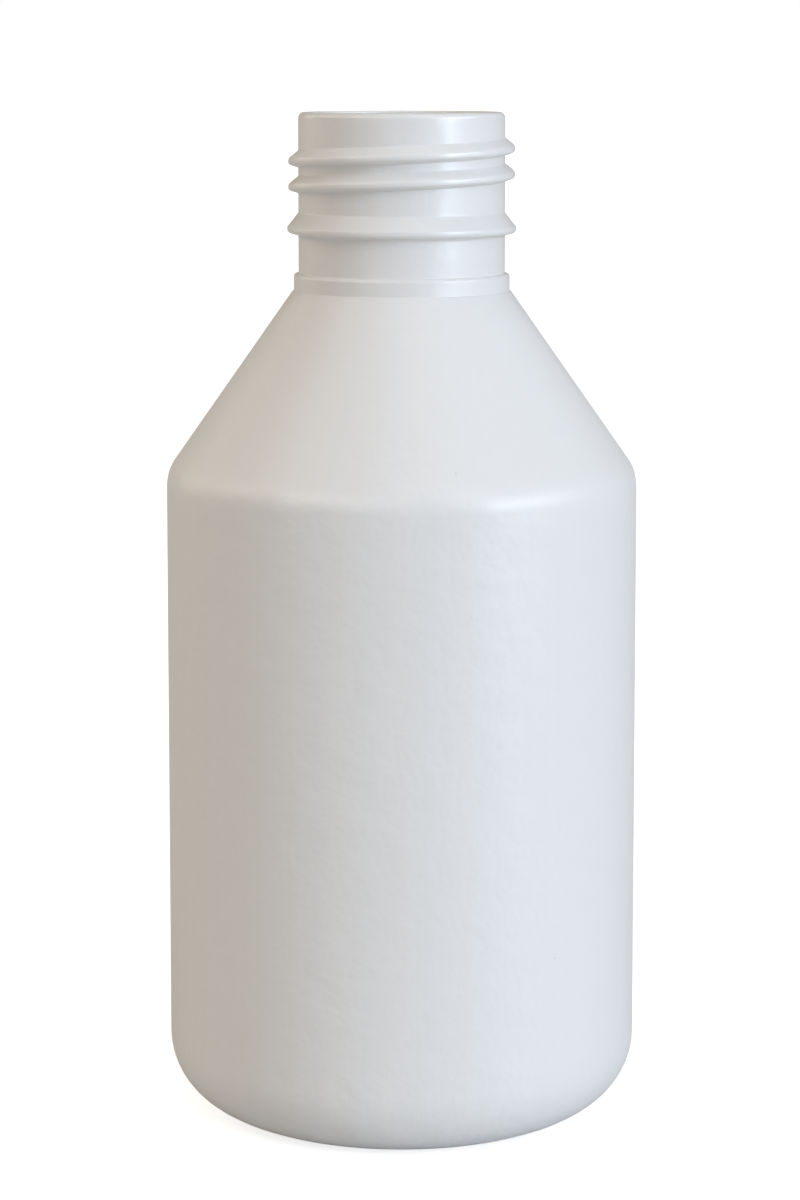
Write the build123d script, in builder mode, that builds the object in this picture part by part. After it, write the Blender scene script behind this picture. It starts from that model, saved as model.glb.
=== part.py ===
from build123d import *

import os
from math import radians, tan

# Honey bottle, blow-moulded in one piece: a round body, a conical shoulder and a screw neck.
# Millimetres and degrees. +Z is up, the axis lies on Z and the standing ring on Z = 0.

# Body and shoulder
overall_height = 166.0
body_diameter = 78.2
body_wall = 1.15
base_edge_radius = 11.6
shoulder_angle = 35.0
shoulder_radius = 7.5

# Base: a flat standing ring round a shallow hollow, crossed by the mould's pinch-off seam
base_wall = 1.6
standing_ring_width = 3.0
hollow_height = 3.2
hollow_edge_radius = 6.0
seam_reach_share = 0.72
seam_width = 1.2
seam_height = 0.5

# Neck and mouth
neck_diameter = 34.1
neck_wall = 1.85
bore_foot_radius = 5.0
rim_outer_radius = 0.9
rim_inner_radius = 0.4

# Right-hand thread with one start, placed by its crest's drop below the rim at the upper end
thread_depth = 1.65
thread_pitch = 4.233
thread_upper_drop = 5.63
thread_crest_width = 1.08
thread_crest_radius = 0.6
thread_upper_flank_height = 1.56
thread_lower_flank_height = 0.53
thread_root_depth = 0.3
thread_end_depth = 0.05
thread_start_angle = 145.0
thread_full_angle = 610.0
thread_fade_angle = 24.0

# Bead for the cap's tamper band, placed by its crest's drop below the thread's lower end
bead_depth = 1.85
bead_drop_from_thread = 6.55
bead_crest_width = 0.9
bead_crest_radius = 0.4
bead_lip_radius = 0.6
bead_upper_flank_height = 2.35
bead_lower_flank_height = 0.45
bead_root_radius = 0.5

# Collar at the foot of the neck, and the plain neck between it and the bead
collar_depth = 0.8
collar_height = 2.65
collar_edge_radius = 0.6
plain_neck_height = 6.27

# Length that the cavity's cut runs past the rim
cut_overrun = 5.0

full_turn = 360

# Radii
body_radius = body_diameter / 2
neck_radius = neck_diameter / 2
bore_radius = neck_radius - neck_wall
collar_radius = neck_radius + collar_depth
bead_radius = neck_radius + bead_depth
hollow_radius = body_radius - base_edge_radius - standing_ring_width

# Heights, worked out down from the rim
thread_foot = overall_height - thread_upper_drop - thread_pitch * thread_full_angle / full_turn
bead_crest_top = thread_foot - bead_drop_from_thread + bead_crest_width / 2
bead_crest_foot = bead_crest_top - bead_crest_width
bead_foot = bead_crest_foot - bead_lower_flank_height
collar_top = bead_foot - plain_neck_height
collar_foot = collar_top - collar_height
shoulder_slope = tan(radians(shoulder_angle))
shoulder_height = collar_foot - (body_radius - collar_radius) / shoulder_slope

# Cavity, a wall's thickness inside the body and the shoulder
cavity_radius = body_radius - body_wall
cavity_shoulder_height = shoulder_height - body_wall * tan(radians(shoulder_angle / 2))
bore_foot = cavity_shoulder_height + (cavity_radius - bore_radius) / shoulder_slope


def thread_section(angle, sink):
    """Draw the thread's section at an angle along its helix, sunk towards the axis."""
    section_plane = Plane(
        origin=(0, 0, thread_pitch * angle / full_turn),
        x_dir=Vector(1, 0, 0).rotate(Axis.Z, angle),
        z_dir=Vector(0, -1, 0).rotate(Axis.Z, angle),
    )
    root = neck_radius - thread_root_depth - sink
    crest = neck_radius + thread_depth - sink
    crest_half_width = thread_crest_width / 2
    with BuildSketch(section_plane) as section:
        with BuildLine():
            outline = FilletPolyline(
                (root, crest_half_width + thread_upper_flank_height),
                (crest, crest_half_width),
                (crest, -crest_half_width),
                (root, -crest_half_width - thread_lower_flank_height),
                radius=thread_crest_radius,
            )
            Line(outline @ 1, outline @ 0)
        make_face()
    return section.sketch


# Thread, from its lower end on +X, with each end sinking into the neck over the fade
fade_sink = thread_depth + thread_end_depth
with BuildPart() as thread:
    with BuildLine() as helix:
        Helix(thread_pitch, thread_pitch * thread_full_angle / full_turn, neck_radius)
    sweep(thread_section(0, 0), path=helix.line, is_frenet=True)
    loft(
        [thread_section(-thread_fade_angle, fade_sink), thread_section(0, 0)],
        ruled=True,
    )
    loft(
        [
            thread_section(thread_full_angle, 0),
            thread_section(thread_full_angle + thread_fade_angle, fade_sink),
        ],
        ruled=True,
    )

with BuildPart() as bottle:
    # Outer form, from the hollow base round the body and up the neck to the rim
    with BuildSketch(Plane.XZ):
        with BuildLine():
            hollow = TangentArc((0, hollow_height), (hollow_radius, 0), tangent=(1, 0))
            outline = FilletPolyline(
                hollow @ 1,
                (body_radius, 0),
                (body_radius, shoulder_height),
                (collar_radius, collar_foot),
                (collar_radius, collar_top),
                (neck_radius, collar_top),
                (neck_radius, bead_foot),
                (bead_radius, bead_crest_foot),
                (bead_radius, bead_crest_top),
                (neck_radius, bead_crest_top + bead_upper_flank_height),
                (neck_radius, overall_height),
                (0, overall_height),
                radius=[
                    base_edge_radius,
                    shoulder_radius,
                    0,
                    min(collar_edge_radius, collar_depth),
                    0,
                    bead_root_radius,
                    bead_lip_radius,
                    bead_crest_radius,
                    bead_root_radius,
                    min(rim_outer_radius, neck_wall / 2),
                ],
            )
            Line(outline @ 1, hollow @ 0)
        make_face()
    revolve(axis=Axis.Z)

    # Soft edge between the hollow and the standing ring
    ring_edges = bottle.edges().filter_by(GeomType.CIRCLE).group_by(Axis.Z)[0]
    fillet(ring_edges.sort_by(SortBy.RADIUS)[0], radius=hollow_edge_radius)

    # Pinch-off seam, which follows the hollow from side to side
    seam_end = hollow @ seam_reach_share
    with BuildSketch(Plane.XZ):
        with BuildLine():
            seam_foot = ThreePointArc(
                (-seam_end.X, seam_end.Y - seam_height),
                (0, hollow_height - seam_height),
                (seam_end.X, seam_end.Y - seam_height),
            )
            Polyline(
                seam_foot @ 1,
                (seam_end.X, hollow_height),
                (-seam_end.X, hollow_height),
                seam_foot @ 0,
            )
        make_face()
    extrude(amount=seam_width / 2, both=True)

    # Thread round the neck
    with Locations((0, 0, thread_foot)):
        add(thread.part, rotation=(0, 0, thread_start_angle))

    # Cavity, open through the neck
    with BuildSketch(Plane.XZ):
        with BuildLine():
            floor = TangentArc(
                (0, hollow_height + base_wall),
                (hollow_radius, base_wall),
                tangent=(1, 0),
            )
            lining = FilletPolyline(
                floor @ 1,
                (cavity_radius, base_wall),
                (cavity_radius, cavity_shoulder_height),
                (bore_radius, bore_foot),
                (bore_radius, overall_height + cut_overrun),
                (0, overall_height + cut_overrun),
                radius=[
                    base_edge_radius - body_wall,
                    shoulder_radius - body_wall,
                    bore_foot_radius,
                    0,
                ],
            )
            Line(lining @ 1, floor @ 0)
        make_face()
    revolve(axis=Axis.Z, mode=Mode.SUBTRACT)

    # Soft inner edge of the mouth
    rim_edges = bottle.edges().filter_by(GeomType.CIRCLE).group_by(Axis.Z)[-1]
    fillet(rim_edges.sort_by(SortBy.RADIUS)[0], radius=min(rim_inner_radius, neck_wall / 2))

bottle.part.label = "bottle"

os.makedirs("parts", exist_ok=True)
export_step(bottle.part, "parts/bottle.step")
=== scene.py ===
"""Looks of the honey bottle: one blow-moulded piece of white plastic on a pale studio floor.

Sizes are in millimetres and angles in degrees, and meshes are made in metres. +Z is up, the bottle's axis
lies on Z and its standing ring on Z = 0. The photograph looks along +Y.
"""

import logging
from dataclasses import dataclass
from enum import Enum
from math import ceil, cos, pi, radians, sin, sqrt, tan
from typing import Any

import bpy
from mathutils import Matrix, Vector


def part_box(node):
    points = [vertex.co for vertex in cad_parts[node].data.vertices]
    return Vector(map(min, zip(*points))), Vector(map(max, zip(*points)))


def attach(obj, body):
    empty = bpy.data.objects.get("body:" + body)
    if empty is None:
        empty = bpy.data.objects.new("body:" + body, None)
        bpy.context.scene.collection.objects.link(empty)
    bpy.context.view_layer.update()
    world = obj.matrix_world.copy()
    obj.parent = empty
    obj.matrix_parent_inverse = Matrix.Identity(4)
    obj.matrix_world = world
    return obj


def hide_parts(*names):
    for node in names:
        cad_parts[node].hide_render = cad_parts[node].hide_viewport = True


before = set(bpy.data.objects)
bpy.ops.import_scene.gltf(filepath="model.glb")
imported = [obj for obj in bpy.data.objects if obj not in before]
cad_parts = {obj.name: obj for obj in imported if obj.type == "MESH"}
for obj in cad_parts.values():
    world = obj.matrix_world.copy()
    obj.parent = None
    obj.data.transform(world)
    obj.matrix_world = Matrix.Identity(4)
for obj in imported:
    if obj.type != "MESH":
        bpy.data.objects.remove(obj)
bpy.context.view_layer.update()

MM = 0.001
FULL_TURN = 360.0
RIGHT_ANGLE = 90.0
CIRCLE = 2 * pi
MEAN_NOISE = 0.5
UNIT = 1.0
BODY = "root"
NODE = "bottle"

log = logging.getLogger("bottle")

Colour = tuple[float, float, float]


def opaque(colour: Colour) -> tuple[float, float, float, float]:
    """Add the full alpha that a colour socket takes."""
    return (*colour, UNIT)


def put_in_scene(data: bpy.types.ID) -> bpy.types.Object:
    """Put data in the scene, as an object of the same name.

    Args:
        data: a mesh, a light or a camera.

    Returns:
        The object.
    """
    made = bpy.data.objects.new(data.name, data)
    bpy.context.scene.collection.objects.link(made)
    return made


class Value:
    """A node's output that Python expressions can be written on; each operator adds a Math node."""

    def __init__(self, tree: "Tree", socket: bpy.types.NodeSocket) -> None:
        """Keep the output socket and the tree that it is in."""
        self.tree = tree
        self.socket = socket

    def out(self, name: str) -> "Value":
        """Give another output of the same node."""
        return Value(self.tree, self.tree.pick(self.socket.node.outputs, name))

    def math(self, operation: str, *others: Any) -> "Value":
        """Put this value, and any others, through a Math node."""
        return self.tree.math(operation, self, *others)

    def __add__(self, other: Any) -> "Value":
        """Add on the right."""
        return self.tree.math("ADD", self, other)

    def __radd__(self, other: Any) -> "Value":
        """Add on the left."""
        return self.tree.math("ADD", other, self)

    def __sub__(self, other: Any) -> "Value":
        """Take away a value."""
        return self.tree.math("SUBTRACT", self, other)

    def __rsub__(self, other: Any) -> "Value":
        """Take this away from a value."""
        return self.tree.math("SUBTRACT", other, self)

    def __mul__(self, other: Any) -> "Value":
        """Multiply on the right."""
        return self.tree.math("MULTIPLY", self, other)

    def __rmul__(self, other: Any) -> "Value":
        """Multiply on the left."""
        return self.tree.math("MULTIPLY", other, self)

    def __truediv__(self, other: Any) -> "Value":
        """Divide by a value."""
        return self.tree.math("DIVIDE", self, other)

    def __rtruediv__(self, other: Any) -> "Value":
        """Divide a value by this."""
        return self.tree.math("DIVIDE", other, self)


class Tree:
    """A node tree that is being built, of shader nodes or of geometry nodes."""

    def __init__(self, nodes: bpy.types.NodeTree) -> None:
        """Keep Blender's own tree."""
        self.nodes = nodes

    @staticmethod
    def fresh(owner: bpy.types.Material | bpy.types.World) -> "Tree":
        """Start an empty shader tree.

        Args:
            owner: the material or the world that the tree belongs to.

        Returns:
            The tree.
        """
        owner.use_nodes = True
        owner.node_tree.nodes.clear()
        return Tree(owner.node_tree)

    @staticmethod
    def pick(sockets: Any, key: str | int) -> bpy.types.NodeSocket:
        """Find a socket by its place, or by its name among those in use.

        Args:
            sockets: a node's inputs or outputs.
            key: the socket's place in the list, or its name.

        Returns:
            The socket.
        """
        if isinstance(key, int):
            return sockets[key]
        return next(socket for socket in sockets if socket.enabled and socket.name == key)

    def node(self, kind: str, inputs: dict[str | int, Any] | None = None, **settings: Any) -> Value:
        """Add a node.

        Args:
            kind: Blender's name for the node's type.
            inputs: what each input takes, by its name or place: a plain value or a node's output.
            **settings: the node's own settings, which are set first.

        Returns:
            The node's first output in use.
        """
        made = self.nodes.nodes.new(kind)
        for name, setting in settings.items():
            setattr(made, name, setting)
        for key, given in (inputs or {}).items():
            socket = self.pick(made.inputs, key)
            if isinstance(given, Value):
                self.nodes.links.new(given.socket, socket)
            else:
                socket.default_value = given
        return Value(self, next((socket for socket in made.outputs if socket.enabled), None))

    def math(self, operation: str, *values: Any) -> Value:
        """Add a Math node.

        Args:
            operation: Blender's name for the operation.
            *values: its inputs, plain numbers or other values.

        Returns:
            The result.
        """
        return self.node("ShaderNodeMath", dict(enumerate(values)), operation=operation)

    def mix(self, factor: Any, first: Any, second: Any) -> Value:
        """Mix two colours.

        Args:
            factor: the second colour's share.
            first: the colour where the factor is 0.
            second: the colour where the factor is 1.

        Returns:
            The mixed colour.
        """
        inputs = {"Factor": factor, "A": first, "B": second}
        return self.node("ShaderNodeMix", inputs, data_type="RGBA")

    def ramp(self, value: Any, low: float, high: float) -> Value:
        """Turn a value into a smooth step.

        Args:
            value: the value that is measured.
            low: where the step starts.
            high: where the step ends.

        Returns:
            0 up to low, 1 from high on, and a smooth curve between them.
        """
        inputs = {"Value": value, "From Min": low, "From Max": high}
        return self.node("ShaderNodeMapRange", inputs, interpolation_type="SMOOTHSTEP")


class ShapeTree(Tree):
    """A Geometry Nodes tree, with named inputs for its sizes."""

    SOCKETS = {int: "NodeSocketInt", float: "NodeSocketFloat", bpy.types.Material: "NodeSocketMaterial"}

    def __init__(self, name: str) -> None:
        """Start a tree that takes a geometry and gives one back.

        Args:
            name: the tree's name.
        """
        super().__init__(bpy.data.node_groups.new(name, "GeometryNodeTree"))
        self.given: dict[str, Any] = {}
        for side in ("INPUT", "OUTPUT"):
            self.nodes.interface.new_socket("Geometry", in_out=side, socket_type="NodeSocketGeometry")
        self.entry = self.nodes.nodes.new("NodeGroupInput")
        self.exit = self.nodes.nodes.new("NodeGroupOutput")
        self.geometry = Value(self, self.entry.outputs["Geometry"])

    def size(self, name: str, value: Any) -> Value:
        """Add a named input.

        Args:
            name: the input's name.
            value: what the modifier gives it, a number or a material.

        Returns:
            The input, for use in the tree.
        """
        kind = self.SOCKETS[type(value)]
        item = self.nodes.interface.new_socket(name, in_out="INPUT", socket_type=kind)
        self.given[item.identifier] = value
        return Value(self, self.entry.outputs[name])

    def bake(self, shape: Value, finish: bpy.types.Material, piece: bpy.types.Object) -> None:
        """End the tree and turn a piece into the plain mesh that the tree makes of it.

        Args:
            shape: the finished shape.
            finish: the material of the whole shape.
            piece: the object whose mesh goes into the tree, and which keeps the result.
        """
        whole = self.node("GeometryNodeRealizeInstances", {"Geometry": shape})
        inputs = {"Geometry": whole, "Material": self.size("Finish", finish)}
        dressed = self.node("GeometryNodeSetMaterial", inputs)
        self.nodes.links.new(dressed.socket, self.exit.inputs["Geometry"])
        modifier = piece.modifiers.new(self.nodes.name, "NODES")
        modifier.node_group = self.nodes
        for identifier, value in self.given.items():
            modifier[identifier] = value
        graph = bpy.context.evaluated_depsgraph_get()
        guide = piece.data
        piece.data = bpy.data.meshes.new_from_object(piece.evaluated_get(graph), depsgraph=graph)
        piece.modifiers.remove(modifier)
        piece.data.materials.clear()
        piece.data.materials.append(finish)
        piece.data.name = piece.name
        bpy.data.meshes.remove(guide)


class Zone(Enum):
    """What a stretch of the bottle's wall carries, and the attribute that marks it."""

    PLAIN = "plain"
    MOULD_LINE = "mould_line"
    THREAD = "thread"


@dataclass(frozen=True)
class Corner:
    """A corner of the wall's outline.

    Attributes:
        radius: its distance from the axis.
        height: its height above the floor.
        rounding: the radius of the arc that rounds it.
        zone: what the wall carries from here to the next corner.
    """

    radius: float
    height: float
    rounding: float = 0.0
    zone: Zone = Zone.PLAIN

    @property
    def point(self) -> Vector:
        """The corner in the outline's plane."""
        return Vector((self.radius, self.height))


@dataclass(frozen=True)
class Row:
    """A row of points round the bottle.

    Attributes:
        radius: its distance from the axis.
        height: its height above the floor.
        zone: what the wall carries there.
    """

    radius: float
    height: float
    zone: Zone


@dataclass
class Outline:
    """The half section of the bottle's wall, as corners that are rounded and filled with rows.

    Attributes:
        corners: the corners in order, from the axis round the wall and back to the axis.
        arc_step: the largest turn between two rows of an arc.
        run_step: the largest distance between two rows of a straight run.
        thread_step: the largest distance between two rows of a run with the thread.
        hold_share: how far from an arc a row holds a run's shading flat, as a share of the arc's radius.
        least_steps: the fewest steps of an arc.
    """

    corners: list[Corner]
    arc_step: float = 7.0
    run_step: float = 9.0
    thread_step: float = 0.062
    hold_share: float = 0.35
    least_steps: int = 2

    def arc(self, index: int) -> list[Vector]:
        """Round one corner.

        Args:
            index: the corner's place in the list.

        Returns:
            The points of its arc, or the corner itself where it isn't rounded.
        """
        corner = self.corners[index]
        if corner.rounding == 0:
            return [corner.point]
        incoming = (corner.point - self.corners[index - 1].point).normalized()
        outgoing = (self.corners[index + 1].point - corner.point).normalized()
        turn = incoming.angle_signed(outgoing)
        reach = corner.rounding * tan(abs(turn) / 2)
        side = Vector((incoming.y, -incoming.x)) * (1 if turn > 0 else -1)
        start = corner.point - incoming * reach
        centre = start + side * corner.rounding
        count = max(self.least_steps, ceil(abs(turn) / radians(self.arc_step)))
        points = []
        for step in range(count + 1):
            swung = turn * step / count
            spoke = start - centre
            points.append(centre + Vector((
                spoke.x * cos(swung) + spoke.y * sin(swung),
                spoke.y * cos(swung) - spoke.x * sin(swung),
            )))
        return points

    def run(self, start: Vector, end: Vector, holds: tuple[float, float], zone: Zone) -> list[Vector]:
        """Fill a straight run between two corners.

        Args:
            start: the run's first point.
            end: the run's last point.
            holds: how far from each end a row holds the shading flat, or 0 for no such row.
            zone: what the wall carries on the run.

        Returns:
            The points between the two ends.
        """
        length = (end - start).length
        if length == 0:
            return []
        ahead = (end - start) / length
        places = [hold for hold in (holds[0], length - holds[1]) if 0 < hold < length]
        if sum(holds) >= length:
            places = []
        marks = [0.0, *places, length]
        step = self.thread_step if zone is Zone.THREAD else self.run_step
        distances = list(places)
        for first, second in zip(marks, marks[1:]):
            count = ceil((second - first) / step)
            distances += [first + (second - first) * part / count for part in range(1, count)]
        return [start + ahead * distance for distance in sorted(distances)]

    def rows(self) -> list[Row]:
        """Give every row of the wall, from the outside of the base to the inside of the floor."""
        arcs = [self.arc(index) for index in range(len(self.corners))]
        found = []
        for index, corner in enumerate(self.corners):
            found += [Row(point.x, point.y, corner.zone) for point in arcs[index]]
            if index + 1 == len(self.corners):
                break
            holds = (
                corner.rounding * self.hold_share,
                self.corners[index + 1].rounding * self.hold_share,
            )
            filling = self.run(arcs[index][-1], arcs[index + 1][0], holds, corner.zone)
            found += [Row(point.x, point.y, corner.zone) for point in filling]
        return found


@dataclass(frozen=True)
class SatinPlastic:
    """Opaque white plastic with the satin skin of a blow mould.

    Attributes:
        colour: the plastic's own colour.
        shade: the colour of its duller clouds and draw lines.
        scuff_colour: the colour of nicks and of the rubbed standing ring.
        roughness: the skin's mean roughness.
        polish: how much smooth gloss lies over the neck, which a polished ring of the mould shapes.
        polish_roughness: roughness of that gloss.
        polish_foot: height where the gloss starts to show.
        polish_start: height from where it holds.
        refraction: the plastic's index of refraction.
        cloud_size: size of the clouds.
        cloud_detail: how many finer noises a cloud holds.
        cloud_share: how strongly a cloud takes the duller colour.
        cloud_roughness: how far the clouds change the roughness.
        line_width: width of the draw lines, which run up the bottle.
        line_length: length of the draw lines.
        line_share: how strongly a draw line takes the duller colour.
        line_roughness: how far the draw lines change the roughness.
        line_height: how far the draw lines stand out.
        grain_size: size of the mould's fine grain.
        grain_height: how far the grain stands out.
        wave_size: size of the wall's slight unevenness.
        wave_detail: how many finer noises it holds.
        wave_height: how far it stands out.
        nick_spacing: the usual distance between two nicks.
        nick_radius: radius of a nick.
        nick_depth: depth of a nick.
        rub_height: how far up the standing ring is rubbed.
        rub_share: how strongly a rubbed patch shows.
        rub_size: size of the rubbed patches.
        rub_edge: how softly a rubbed patch ends, in the noise's own measure.
        rub_roughness: how far rubbing changes the roughness.
    """

    colour: Colour = (0.835, 0.833, 0.826)
    shade: Colour = (0.80, 0.795, 0.782)
    scuff_colour: Colour = (0.70, 0.69, 0.675)
    roughness: float = 0.38
    polish: float = 0.45
    polish_roughness: float = 0.2
    polish_foot: float = 128.0
    polish_start: float = 138.0
    refraction: float = 1.54
    cloud_size: float = 26.0
    cloud_detail: float = 3.0
    cloud_share: float = 0.55
    cloud_roughness: float = 0.10
    line_width: float = 1.6
    line_length: float = 60.0
    line_share: float = 0.35
    line_roughness: float = 0.06
    line_height: float = 0.008
    grain_size: float = 0.36
    grain_height: float = 0.018
    wave_size: float = 4.5
    wave_detail: float = 2.0
    wave_height: float = 0.22
    nick_spacing: float = 8.5
    nick_radius: float = 0.3
    nick_depth: float = 0.05
    rub_height: float = 0.3
    rub_share: float = 0.5
    rub_size: float = 0.8
    rub_edge: float = 0.25
    rub_roughness: float = 0.14

    @staticmethod
    def noise(tree: Tree, place: Value, size: float, detail: float = 2.0) -> Value:
        """Add a noise that strays evenly to both sides of 0.

        Args:
            tree: the material's tree.
            place: where the noise is read.
            size: size of its patches, in millimetres.
            detail: how many finer noises it holds.

        Returns:
            The noise.
        """
        inputs = {"Vector": place, "Scale": 1 / (size * MM), "Detail": detail}
        return tree.node("ShaderNodeTexNoise", inputs) - MEAN_NOISE

    def material(self) -> bpy.types.Material:
        """Build the finish as a material.

        Returns:
            The material.
        """
        made = bpy.data.materials.new("Satin white plastic")
        tree = Tree.fresh(made)
        place = tree.node("ShaderNodeTexCoord").out("Object")
        point = tree.node("ShaderNodeSeparateXYZ", {"Vector": place})
        across, deep, height = point, point.out("Y"), point.out("Z")
        pressed = self.line_width / self.line_length
        drawn = tree.node("ShaderNodeCombineXYZ", {"X": across, "Y": deep, "Z": height * pressed})
        clouds = self.noise(tree, place, self.cloud_size, self.cloud_detail)
        lines = self.noise(tree, drawn, self.line_width)
        grain = self.noise(tree, place, self.grain_size)
        waves = self.noise(tree, place, self.wave_size, self.wave_detail)
        spacing = self.nick_spacing * MM
        spots = tree.node("ShaderNodeTexVoronoi", {"Vector": place, "Scale": 1 / spacing}) * spacing
        nicks = 1 - tree.ramp(spots, 0, self.nick_radius * MM)
        patches = tree.ramp(self.noise(tree, place, self.rub_size), 0, self.rub_edge)
        rubbed = (1 - tree.ramp(height, 0, self.rub_height * MM)) * patches * self.rub_share
        dulled = clouds * self.cloud_share + lines * self.line_share + MEAN_NOISE
        dulled = dulled.math("MAXIMUM", 0).math("MINIMUM", 1)
        clean = tree.mix(dulled, opaque(self.colour), opaque(self.shade))
        worn = nicks.math("MAXIMUM", rubbed)
        relief = grain * (self.grain_height * MM) + waves * (self.wave_height * MM)
        relief = relief + lines * (self.line_height * MM) - nicks * (self.nick_depth * MM)
        gloss = tree.ramp(height, self.polish_foot * MM, self.polish_start * MM)
        spread = clouds * self.cloud_roughness + lines * self.line_roughness + worn * self.rub_roughness
        shader = tree.node("ShaderNodeBsdfPrincipled", {
            "Base Color": tree.mix(worn, clean, opaque(self.scuff_colour)),
            "Roughness": spread + self.roughness,
            "IOR": self.refraction,
            "Coat Weight": gloss * self.polish,
            "Coat Roughness": self.polish_roughness,
            "Normal": tree.node("ShaderNodeBump", {"Height": relief, "Distance": UNIT}),
        })
        tree.node("ShaderNodeOutputMaterial", {"Surface": shader})
        return made


@dataclass
class Bottle:
    """The whole bottle: a wall from the base's hollow round the body, up the neck and down the inside.

    Attributes:
        finish: the plastic.
        body_wall: thickness of the body and the shoulder.
        base_edge_radius: rounding of the edge under the body.
        shoulder_angle: the shoulder's angle from the axis.
        shoulder_radius: rounding between the body and the shoulder.
        base_wall: thickness of the floor.
        standing_ring_width: width of the flat ring that the bottle stands on.
        hollow_height: height of the hollow inside the ring.
        hollow_edge_radius: rounding between the ring and the hollow.
        hollow_rows: rows of the mesh up the hollow.
        seam_reach: how far the pinch-off seam reaches to each side.
        seam_width: the seam's width.
        seam_height: how far the seam stands out of the hollow.
        seam_taper: how bluntly the seam's ends narrow, as a power.
        seam_steps: steps of the mesh along the seam.
        seam_sides: sides of the seam's section.
        neck_radius: outer radius of the plain neck.
        bore_radius: inner radius of the neck.
        bore_foot_radius: rounding where the bore widens into the shoulder.
        rim_outer_radius: rounding of the rim's outer edge.
        rim_inner_radius: rounding of the rim's inner edge.
        bead_depth: how far the tamper band's bead stands out.
        bead_drop_from_thread: the bead's drop below the thread's lower end.
        bead_crest_width: width of the bead's crest.
        bead_crest_radius: rounding of the crest's upper edge.
        bead_lip_radius: rounding of the crest's lower edge.
        bead_upper_flank_height: height of the slope above the crest.
        bead_lower_flank_height: height of the slope below the crest.
        bead_root_radius: rounding where the bead meets the neck.
        collar_depth: how far the collar at the neck's foot stands out.
        collar_height: the collar's height.
        collar_edge_radius: rounding of the collar's upper edge.
        collar_root_radius: rounding where the collar meets the neck and the shoulder.
        collar_ledge: width of the fine ledge at the collar's foot.
        plain_neck_height: height of the neck between the collar and the bead.
        thread_depth: how far the thread stands out.
        thread_pitch: the thread's rise in a turn.
        thread_upper_drop: drop of the thread's upper end below the rim.
        thread_crest_width: width of the thread's crest.
        thread_upper_flank_height: height of the slope above the crest.
        thread_lower_flank_height: height of the slope below the crest.
        thread_crest_softness: how softly the crest turns into the upper slope.
        thread_lip_softness: how softly the crest turns into the lower slope.
        thread_root_softness: how softly the thread meets the neck.
        thread_start_angle: where the thread's lower end lies round the neck.
        thread_full_angle: how far the thread runs at its full depth.
        thread_fade_angle: how far each end takes to sink into the neck.
        thread_margin: neck that is meshed finely below the thread.
        columns: columns of the mesh round the bottle.
        merge_distance: how close points are when they are joined.
        mould_line_height: how far the mould line stands out.
        mould_line_half_width: half the mould line's width.
        mould_line_pull: how strongly the mesh's columns draw together at the mould line.
        mould_line_spread: how far from the line the columns are drawn.
    """

    finish: bpy.types.Material

    # Body and shoulder
    body_wall: float = 1.15
    base_edge_radius: float = 11.6
    shoulder_angle: float = 35.0
    shoulder_radius: float = 7.5

    # Base
    base_wall: float = 1.6
    standing_ring_width: float = 3.0
    hollow_height: float = 3.2
    hollow_edge_radius: float = 6.0
    hollow_rows: int = 9

    # Pinch-off seam across the base
    seam_reach: float = 17.7
    seam_width: float = 1.2
    seam_height: float = 0.5
    seam_taper: float = 6.0
    seam_steps: int = 48
    seam_sides: int = 16

    # Neck, rim, bead and collar
    neck_radius: float = 17.05
    bore_radius: float = 15.2
    bore_foot_radius: float = 5.0
    rim_outer_radius: float = 0.9
    rim_inner_radius: float = 0.4
    bead_depth: float = 1.85
    bead_drop_from_thread: float = 6.55
    bead_crest_width: float = 0.9
    bead_crest_radius: float = 0.4
    bead_lip_radius: float = 0.6
    bead_upper_flank_height: float = 2.35
    bead_lower_flank_height: float = 0.45
    bead_root_radius: float = 0.5
    collar_depth: float = 0.8
    collar_height: float = 2.65
    collar_edge_radius: float = 0.6
    collar_root_radius: float = 0.2
    collar_ledge: float = 0.2
    plain_neck_height: float = 6.27

    # Thread
    thread_depth: float = 1.65
    thread_pitch: float = 4.233
    thread_upper_drop: float = 5.63
    thread_crest_width: float = 1.08
    thread_upper_flank_height: float = 1.32
    thread_lower_flank_height: float = 0.45
    thread_crest_softness: float = 0.7
    thread_lip_softness: float = 1.7
    thread_root_softness: float = 0.15
    thread_start_angle: float = 145.0
    thread_full_angle: float = 610.0
    thread_fade_angle: float = 24.0
    thread_margin: float = 0.6

    # Mesh
    columns: int = 224
    merge_distance: float = 0.001

    # Line of the mould's two halves
    mould_line_height: float = 0.05
    mould_line_half_width: float = 0.25
    mould_line_pull: float = 0.9
    mould_line_spread: float = 0.08

    def __post_init__(self) -> None:
        """Take the outer size from the frame, and work out the other radii and heights."""
        low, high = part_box(NODE)
        self.overall_height = high.z / MM
        self.body_radius = (high.x - low.x) / 2 / MM
        turns = self.thread_full_angle / FULL_TURN
        self.thread_foot = self.overall_height - self.thread_upper_drop - self.thread_pitch * turns
        self.bead_crest_top = self.thread_foot - self.bead_drop_from_thread + self.bead_crest_width / 2
        self.bead_crest_foot = self.bead_crest_top - self.bead_crest_width
        self.bead_foot = self.bead_crest_foot - self.bead_lower_flank_height
        self.bead_top = self.bead_crest_top + self.bead_upper_flank_height
        self.collar_top = self.bead_foot - self.plain_neck_height
        self.collar_foot = self.collar_top - self.collar_height
        self.hollow_radius = self.body_radius - self.base_edge_radius - self.standing_ring_width
        self.collar_radius = self.neck_radius + self.collar_depth
        self.slope = tan(radians(self.shoulder_angle))
        self.shoulder_height = self.collar_foot - (self.body_radius - self.collar_radius) / self.slope

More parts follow.
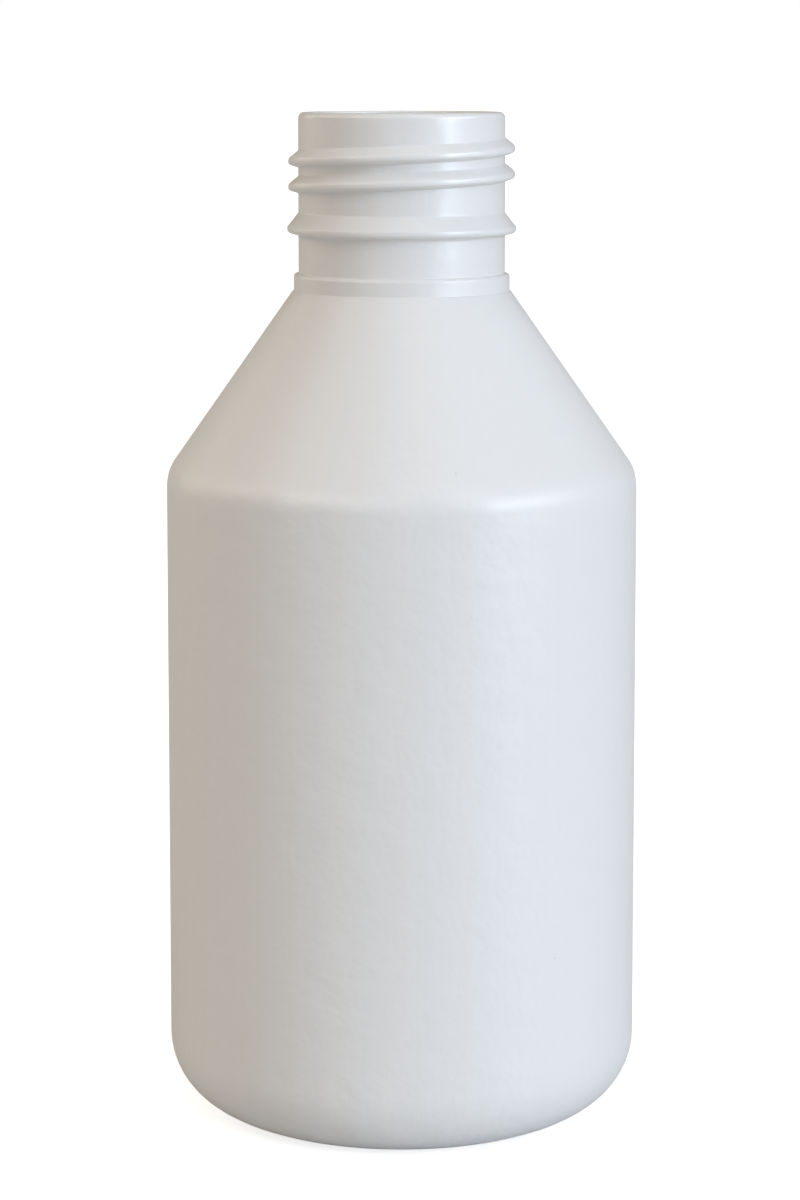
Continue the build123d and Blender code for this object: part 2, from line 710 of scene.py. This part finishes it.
    def dome_drop(self, radius: float) -> float:
        """Work out how far the base's dome lies below its middle.

        Args:
            radius: the distance from the axis.

        Returns:
            The drop.
        """
        sphere = (self.hollow_radius ** 2 + self.hollow_height ** 2) / (2 * self.hollow_height)
        return sphere - sqrt(sphere ** 2 - radius ** 2)

    def dome(self, crown: float) -> list[Corner]:
        """Trace the base's hollow, or the floor above it, from the axis outwards.

        Args:
            crown: height of the dome's middle.

        Returns:
            Corners on the dome, up to its edge but without it.
        """
        corners = []
        for row in range(self.hollow_rows):
            radius = self.hollow_radius * row / self.hollow_rows
            corners.append(Corner(radius, crown - self.dome_drop(radius)))
        return corners

    def outside(self) -> list[Corner]:
        """Trace the outside of the bottle, from the base's middle to the rim."""
        bead_radius = self.neck_radius + self.bead_depth
        ledge_radius = self.collar_radius + self.collar_ledge
        ledge_height = self.collar_foot - self.collar_ledge / self.slope
        thread_low = self.thread_foot - self.thread_lower_flank_height - self.thread_crest_width
        thread_high = self.overall_height - self.thread_upper_drop / 2
        return [
            *self.dome(self.hollow_height),
            Corner(self.hollow_radius, 0, self.hollow_edge_radius),
            Corner(self.body_radius, 0, self.base_edge_radius, Zone.MOULD_LINE),
            Corner(self.body_radius, self.shoulder_height, self.shoulder_radius, Zone.MOULD_LINE),
            Corner(ledge_radius, ledge_height, self.collar_root_radius, Zone.MOULD_LINE),
            Corner(self.collar_radius, ledge_height, self.collar_root_radius / 2, Zone.MOULD_LINE),
            Corner(self.collar_radius, self.collar_top, self.collar_edge_radius, Zone.MOULD_LINE),
            Corner(self.neck_radius, self.collar_top, self.collar_root_radius / 2, Zone.MOULD_LINE),
            Corner(self.neck_radius, self.bead_foot, self.bead_root_radius, Zone.MOULD_LINE),
            Corner(bead_radius, self.bead_crest_foot, self.bead_lip_radius, Zone.MOULD_LINE),
            Corner(bead_radius, self.bead_crest_top, self.bead_crest_radius, Zone.MOULD_LINE),
            Corner(self.neck_radius, self.bead_top, self.bead_root_radius, Zone.MOULD_LINE),
            Corner(self.neck_radius, thread_low - self.thread_margin, zone=Zone.THREAD),
            Corner(self.neck_radius, thread_high, zone=Zone.MOULD_LINE),
            Corner(self.neck_radius, self.overall_height, self.rim_outer_radius),
        ]

    def inside(self) -> list[Corner]:
        """Trace the inside of the bottle, from the rim to the middle of the floor."""
        cavity_radius = self.body_radius - self.body_wall
        cavity_height = self.shoulder_height - self.body_wall * tan(radians(self.shoulder_angle / 2))
        bore_foot = cavity_height + (cavity_radius - self.bore_radius) / self.slope
        floor = self.dome(self.hollow_height + self.base_wall)
        return [
            Corner(self.bore_radius, self.overall_height, self.rim_inner_radius),
            Corner(self.bore_radius, bore_foot, self.bore_foot_radius),
            Corner(cavity_radius, cavity_height, self.shoulder_radius - self.body_wall),
            Corner(cavity_radius, self.base_wall, self.base_edge_radius - self.body_wall),
            Corner(self.hollow_radius, self.base_wall, self.hollow_edge_radius - self.base_wall),
            *reversed(floor),
        ]

    @staticmethod
    def guide(name: str, points: list[tuple[float, float, float]]) -> bpy.types.Object:
        """Make an object of one open line, for a tree to work on.

        Args:
            name: the object's name.
            points: the line's points, in metres.

        Returns:
            The object, in the scene.
        """
        mesh = bpy.data.meshes.new(name)
        mesh.from_pydata(points, [(index, index + 1) for index in range(len(points) - 1)], [])
        return put_in_scene(mesh)

    def thread(self, tree: ShapeTree, azimuth: Value, height: Value) -> Value:
        """Work out how far the thread stands out from the neck.

        Args:
            tree: the wall's tree.
            azimuth: the angle round the axis, in radians.
            height: the height above the floor.

        Returns:
            The distance, which is 0 away from the thread.
        """
        foot = tree.size("Thread foot", self.thread_foot * MM)
        pitch = tree.size("Thread pitch", self.thread_pitch * MM)
        depth = tree.size("Thread depth", self.thread_depth * MM)
        crest = tree.size("Thread crest width", self.thread_crest_width * MM)
        upper_flank = tree.size("Thread upper flank", self.thread_upper_flank_height * MM)
        lower_flank = tree.size("Thread lower flank", self.thread_lower_flank_height * MM)
        softness = tree.size("Thread crest softness", self.thread_crest_softness * MM)
        lip = tree.size("Thread lip softness", self.thread_lip_softness * MM)
        root = tree.size("Thread root softness", self.thread_root_softness * MM)
        start = tree.size("Thread start", self.thread_start_angle / FULL_TURN)
        turns = tree.size("Thread turns", self.thread_full_angle / FULL_TURN)
        fade = tree.size("Thread fade", self.thread_fade_angle / FULL_TURN)
        turn = azimuth / CIRCLE - start
        rise = (height - foot) / pitch
        along = turn + (rise - turn).math("ROUND")
        above = (rise - along) * pitch
        upper = depth - (above - crest / 2) * depth / upper_flank
        lower = depth + (above + crest / 2) * depth / lower_flank
        section = depth.math("SMOOTH_MIN", upper, softness).math("SMOOTH_MIN", lower, lip)
        whole = (along / fade + 1).math("MINIMUM", (turns - along) / fade + 1)
        shown = whole.math("MAXIMUM", 0).math("MINIMUM", 1)
        return (section - (1 - shown) * (depth + root)).math("SMOOTH_MAX", 0, root)

    def mould_line(self, tree: ShapeTree, azimuth: Value, radius: Value) -> Value:
        """Work out the fine ridge where the mould's two halves met, on both sides of the bottle.

        Args:
            tree: the wall's tree.
            azimuth: the angle round the axis, in radians.
            radius: the distance from the axis.

        Returns:
            The ridge's height, which is 0 away from the line.
        """
        height = tree.size("Mould line height", self.mould_line_height * MM)
        half_width = tree.size("Mould line half width", self.mould_line_half_width * MM)
        aside = (radius * azimuth.math("SINE")).math("ABSOLUTE")
        return (1 - aside / half_width).math("MAXIMUM", 0) * height

    def wall(self) -> bpy.types.Object:
        """Build the wall, which is rows of the outline turned round the axis.

        Returns:
            The finished piece.
        """
        rows = Outline([*self.outside(), *self.inside()]).rows()
        piece = self.guide("bottle_wall", [(row.radius * MM, 0, row.height * MM) for row in rows])
        for zone in (Zone.THREAD, Zone.MOULD_LINE):
            layer = piece.data.attributes.new(zone.value, "FLOAT", "POINT")
            layer.data.foreach_set("value", [float(row.zone is zone) for row in rows])
        tree = ShapeTree("Bottle wall")
        columns = tree.size("Columns", self.columns)
        pull = tree.size("Mould line pull", self.mould_line_pull)
        spread = tree.size("Mould line spread", self.mould_line_spread)
        index = tree.node("GeometryNodeInputIndex")
        row = (index / (columns + 1)).math("FLOOR")
        column = index - row * (columns + 1)

        def sampled(field: Value, kind: str) -> Value:
            """Read a value of the outline for each row."""
            inputs = {"Geometry": tree.geometry, "Value": field, "Index": row}
            return tree.node("GeometryNodeSampleIndex", inputs, data_type=kind, domain="POINT")

        def marked(zone: Zone) -> Value:
            """Read for each row whether it is in a zone."""
            field = tree.node("GeometryNodeInputNamedAttribute", {"Name": zone.value})
            return sampled(field, "FLOAT")

        place = sampled(tree.node("GeometryNodeInputPosition"), "FLOAT_VECTOR")
        point = tree.node("ShaderNodeSeparateXYZ", {"Vector": place})
        radius, height = point.out("X"), point.out("Z")
        even = column / columns * CIRCLE
        aside = even.math("SINE")
        near = (aside / spread).math("POWER", 2)
        drawn = aside * even.math("COSINE") * pull / near.math("EXPONENT")
        azimuth = even - drawn
        threaded = marked(Zone.THREAD)
        parted = marked(Zone.MOULD_LINE)
        ridge = self.thread(tree, azimuth, height) * threaded
        line = self.mould_line(tree, azimuth, radius) * (parted + threaded)
        reach = radius + ridge + line
        spot = tree.node("ShaderNodeCombineXYZ", {
            "X": reach * azimuth.math("COSINE"),
            "Y": reach * azimuth.math("SINE"),
            "Z": height,
        })
        outline = tree.node("GeometryNodeAttributeDomainSize", {"Geometry": tree.geometry})
        count = outline.out("Point Count")
        grid = tree.node("GeometryNodeMeshGrid", {"Vertices X": count, "Vertices Y": columns + 1})
        turned = tree.node("GeometryNodeSetPosition", {"Geometry": grid, "Position": spot})
        distance = tree.size("Merge distance", self.merge_distance * MM)
        closed = tree.node("GeometryNodeMergeByDistance", {"Geometry": turned, "Distance": distance})
        outward = tree.node("GeometryNodeFlipFaces", {"Mesh": closed})
        smooth = tree.node("GeometryNodeSetShadeSmooth", {"Geometry": outward, "Shade Smooth": True})
        tree.bake(smooth, self.finish, piece)
        return piece

    def base_seam(self) -> bpy.types.Object:
        """Build the weld left where the mould pinched the base shut, a low ridge along the hollow.

        Returns:
            The finished piece.
        """
        points = []
        for step in range(self.seam_steps + 1):
            along = self.seam_reach * (2 * step / self.seam_steps - 1)
            height = self.hollow_height - self.dome_drop(along)
            points.append((along * MM, 0, height * MM))
        piece = self.guide("base_seam", points)
        tree = ShapeTree("Base seam")
        half_width = tree.size("Half width", self.seam_width / 2 * MM)
        height = tree.size("Height", self.seam_height * MM)
        sides = tree.size("Sides", self.seam_sides)
        path = tree.node("GeometryNodeMeshToCurve", {"Mesh": tree.geometry})
        share = tree.node("GeometryNodeSplineParameter")
        from_middle = (share * 2 - 1).math("ABSOLUTE")
        taper = (1 - from_middle.math("POWER", self.seam_taper)).math("SQRT")
        tapered = tree.node("GeometryNodeSetCurveRadius", {"Curve": path, "Radius": taper})
        circle = tree.node("GeometryNodeCurvePrimitiveCircle", {"Resolution": sides, "Radius": UNIT})
        stretch = tree.node("ShaderNodeCombineXYZ", {"X": half_width, "Y": height, "Z": UNIT})
        section = tree.node("GeometryNodeTransform", {"Geometry": circle, "Scale": stretch})
        inputs = {"Curve": tapered, "Profile Curve": section, "Fill Caps": True}
        ridge = tree.node("GeometryNodeCurveToMesh", inputs)
        smooth = tree.node("GeometryNodeSetShadeSmooth", {"Geometry": ridge, "Shade Smooth": True})
        tree.bake(smooth, self.finish, piece)
        return piece

    def build(self) -> list[bpy.types.Object]:
        """Build and place every piece of the bottle.

        Returns:
            The pieces.
        """
        wall = self.wall()
        seam = self.base_seam()
        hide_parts(NODE)
        for piece in (wall, seam):
            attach(piece, BODY)
        return [wall, seam]


@dataclass(frozen=True)
class SoftLight:
    """A large soft light, so far off that it falls evenly on the bottle and the floor.

    Attributes:
        name: the light's name.
        azimuth: its direction seen from above, from the camera's side round to the right.
        elevation: its direction above the floor.
        spread: the angle that it fills, seen from the bottle.
        strength: its strength in each of red, green and blue, in watts per square metre.
        gloss_only: whether it shows only as a reflection.
    """

    name: str
    azimuth: float
    elevation: float
    spread: float
    strength: Colour
    gloss_only: bool = False

    def build(self) -> bpy.types.Object:
        """Make the light and turn it to the bottle.

        Returns:
            The light.
        """
        across, up = radians(self.azimuth), radians(self.elevation)
        away = Vector((sin(across) * cos(up), -cos(across) * cos(up), sin(up)))
        strongest = max(self.strength)
        light = bpy.data.lights.new(self.name, "SUN")
        light.angle = radians(self.spread)
        light.energy = strongest
        light.color = [part / strongest for part in self.strength]
        made = put_in_scene(light)
        made.location = away
        made.visible_diffuse = not self.gloss_only
        made.rotation_euler = (-away).to_track_quat("-Z", "Y").to_euler()
        return made


@dataclass
class Studio:
    """The floor, the lights and the bright room round them.

    Attributes:
        lights: the lights.
        floor_colour: the floor's colour.
        floor_glow: the light that shines through the floor to the camera, as on a light table.
        floor_roughness: the floor's roughness.
        floor_reach: how far the floor reaches to each side, in metres.
        floor_drop: how far the floor lies below the standing ring, so that they don't share a plane.
        room_colour: the light that the room throws back from all sides.
        backdrop_colour: what shows above the floor.
    """

    lights: tuple[SoftLight, ...]
    floor_colour: Colour = (0.64, 0.64, 0.64)
    floor_glow: Colour = (0.76, 0.76, 0.76)
    floor_roughness: float = 0.8
    floor_reach: float = 60.0
    floor_drop: float = 0.02
    room_colour: Colour = (0.341, 0.312, 0.281)
    backdrop_colour: Colour = (1.0, 1.0, 1.0)

    def floor(self) -> bpy.types.Object:
        """Build the floor.

        Returns:
            The floor.
        """
        far = self.floor_reach
        level = -self.floor_drop * MM
        corners = [(-far, -far, level), (far, -far, level), (far, far, level), (-far, far, level)]
        mesh = bpy.data.meshes.new("studio_floor")
        mesh.from_pydata(corners, [], [range(len(corners))])
        mesh.materials.append(self.floor_material())
        made = put_in_scene(mesh)
        return made

    def floor_material(self) -> bpy.types.Material:
        """Build the floor's plain pale finish, with a glow that only the camera sees.

        Returns:
            The material.
        """
        made = bpy.data.materials.new("Pale floor")
        tree = Tree.fresh(made)
        board = tree.node("ShaderNodeBsdfPrincipled", {
            "Base Color": opaque(self.floor_colour),
            "Roughness": self.floor_roughness,
        })
        seen = tree.node("ShaderNodeLightPath").out("Is Camera Ray")
        glow = tree.node("ShaderNodeEmission", {"Color": opaque(self.floor_glow)})
        shown = tree.node("ShaderNodeMixShader", {0: seen, 2: glow})
        shader = tree.node("ShaderNodeAddShader", {0: board, 1: shown})
        tree.node("ShaderNodeOutputMaterial", {"Surface": shader})
        return made

    def room(self) -> None:
        """Light the room evenly, with a plain backdrop above the floor, and show colours as they are."""
        made = bpy.data.worlds.new("Studio")
        tree = Tree.fresh(made)
        walls = tree.node("ShaderNodeBackground", {"Color": opaque(self.room_colour)})
        backdrop = tree.node("ShaderNodeBackground", {"Color": opaque(self.backdrop_colour)})
        seen = tree.node("ShaderNodeLightPath").out("Is Camera Ray")
        shown = tree.node("ShaderNodeMixShader", {0: seen, 1: walls, 2: backdrop})
        tree.node("ShaderNodeOutputWorld", {"Surface": shown})
        bpy.context.scene.world = made
        bpy.context.scene.view_settings.view_transform = "Standard"

    def build(self) -> list[bpy.types.Object]:
        """Build the floor, the lights and the room.

        Returns:
            The floor and the lights.
        """
        self.room()
        return [self.floor(), *(light.build() for light in self.lights)]


@dataclass(frozen=True)
class PhotoCamera:
    """The camera, where the photograph was taken from.

    Attributes:
        distance: how far it stands in front of the bottle's axis.
        height: its height above the floor.
        pitch: how far it looks down.
        lens: its focal length on a film as wide as the picture's longer side.
        film: that film's width.
        shift_x: the picture's shift to the side, as a share of its longer side.
        shift_y: the picture's shift upwards, as a share of its longer side.
    """

    distance: float = 511.7
    height: float = 173.0
    pitch: float = 6.118
    lens: float = 92.757
    film: float = 36.0
    shift_x: float = -0.00142
    shift_y: float = -0.16625

    def build(self) -> bpy.types.Object:
        """Make the camera and render from it.

        Returns:
            The camera.
        """
        data = bpy.data.cameras.new("photo_camera")
        data.sensor_width = self.film
        data.lens = self.lens
        data.shift_x = self.shift_x
        data.shift_y = self.shift_y
        made = put_in_scene(data)
        made.location = (0, -self.distance * MM, self.height * MM)
        made.rotation_euler = (radians(RIGHT_ANGLE - self.pitch), 0, 0)
        bpy.context.scene.camera = made
        return made


LIGHTS = (
    SoftLight("key", 55.0, 12.0, 24.0, (1.12, 1.24, 1.40)),
    SoftLight("low_key", 55.0, 3.0, 12.0, (0.16, 0.25, 0.36)),
    SoftLight("front", 30.0, 40.0, 36.0, (0.42, 0.485, 0.57)),
    SoftLight("top", 0.0, 85.0, 50.0, (0.35, 0.355, 0.36)),
    SoftLight("upper_left", -70.0, 40.0, 36.0, (0.40, 0.315, 0.21)),
    SoftLight("back_left", -120.0, 12.0, 36.0, (0.34, 0.305, 0.245)),
    SoftLight("edge_left", -49.0, 26.0, 24.0, (0.52, 0.50, 0.48), gloss_only=True),
    SoftLight("edge_front", -20.0, 26.0, 20.0, (0.32, 0.32, 0.32), gloss_only=True),
    SoftLight("edge_right", 78.0, 15.0, 18.0, (0.40, 0.41, 0.43), gloss_only=True),
    SoftLight("edge_far_left", -92.0, 23.0, 20.0, (0.26, 0.24, 0.21), gloss_only=True),
)


def report(piece: bpy.types.Object) -> None:
    """Log what a finished piece holds.

    Args:
        piece: the piece.
    """
    mesh = piece.data
    mesh.calc_loop_triangles()
    counts = (len(mesh.vertices), len(mesh.polygons), len(mesh.loop_triangles))
    log.info("%s: %d points, %d faces, %d triangles", piece.name, *counts)


def main() -> None:
    """Build the bottle, the studio and the camera."""
    logging.basicConfig(level=logging.INFO, format="%(message)s")
    bottle = Bottle(SatinPlastic().material())
    for piece in bottle.build():
        report(piece)
    Studio(LIGHTS).build()
    PhotoCamera().build()


if __name__ == "__main__":
    main()
